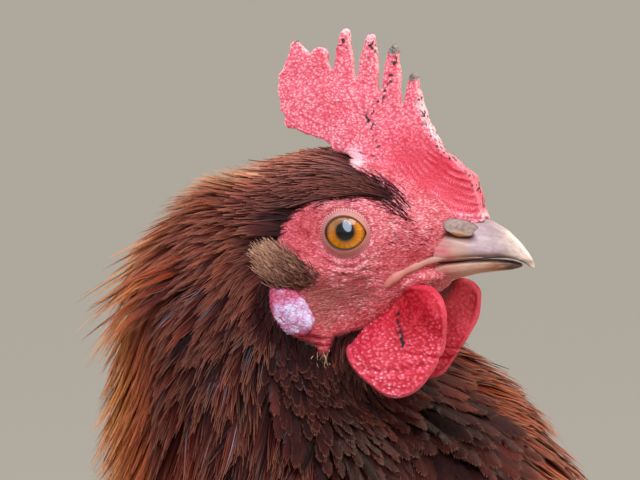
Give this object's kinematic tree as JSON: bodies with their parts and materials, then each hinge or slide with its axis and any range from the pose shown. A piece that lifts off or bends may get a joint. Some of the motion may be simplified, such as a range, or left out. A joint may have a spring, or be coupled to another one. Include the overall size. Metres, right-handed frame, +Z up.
{
  "type": "hen",
  "caption": "Life-size standing brown laying hen, head turned a little to its right: a still, museum-style animal model that rests on both feet.",
  "frame": {"origin": "on the floor, under the middle of the whole hen's box", "axes": "+X the way the body faces, +Y the hen's left, +Z up"},
  "size_m": [0.3332, 0.1724, 0.3754],
  "materials": {
    "head_feathers": "matt, fine and hair-like",
    "neck_feathers": "silky, long narrow feathers",
    "body_feathers": "soft, overlapping round feathers",
    "wing_feathers": "smooth, stiff feathers",
    "tail_feathers": "smooth, stiff feathers",
    "comb_skin": "waxy, fine-pebbled bare skin",
    "ear_lobe_skin": "waxy, wrinkled bare skin",
    "eye": "wet, high gloss",
    "bill_horn": "satin horn",
    "leg_scales": "satin scales",
    "claw_horn": "satin horn"
  },
  "bodies": {
    "root": {"head": "head_feathers", "neck": "neck_feathers", "trunk": "body_feathers", "tail": "tail_feathers", "comb": "comb_skin", "upper_bill": "bill_horn", "lower_bill": "bill_horn", "wing_right": "wing_feathers", "thigh_right": "body_feathers", "shank_right": "leg_scales", "eye_right": "eye", "wattle_right": "comb_skin", "ear_lobe_right": "ear_lobe_skin", "ear_covert_right": "head_feathers", "toe_inner_right": "leg_scales", "claw_inner_right": "claw_horn", "toe_middle_right": "leg_scales", "claw_middle_right": "claw_horn", "toe_outer_right": "leg_scales", "claw_outer_right": "claw_horn", "toe_hind_right": "leg_scales", "claw_hind_right": "claw_horn", "wing_left": "wing_feathers", "thigh_left": "body_feathers", "shank_left": "leg_scales", "eye_left": "eye", "wattle_left": "comb_skin", "ear_lobe_left": "ear_lobe_skin", "ear_covert_left": "head_feathers", "toe_inner_left": "leg_scales", "claw_inner_left": "claw_horn", "toe_middle_left": "leg_scales", "claw_middle_left": "claw_horn", "toe_outer_left": "leg_scales", "claw_outer_left": "claw_horn", "toe_hind_left": "leg_scales", "claw_hind_left": "claw_horn"}
  },
  "joints": []
}
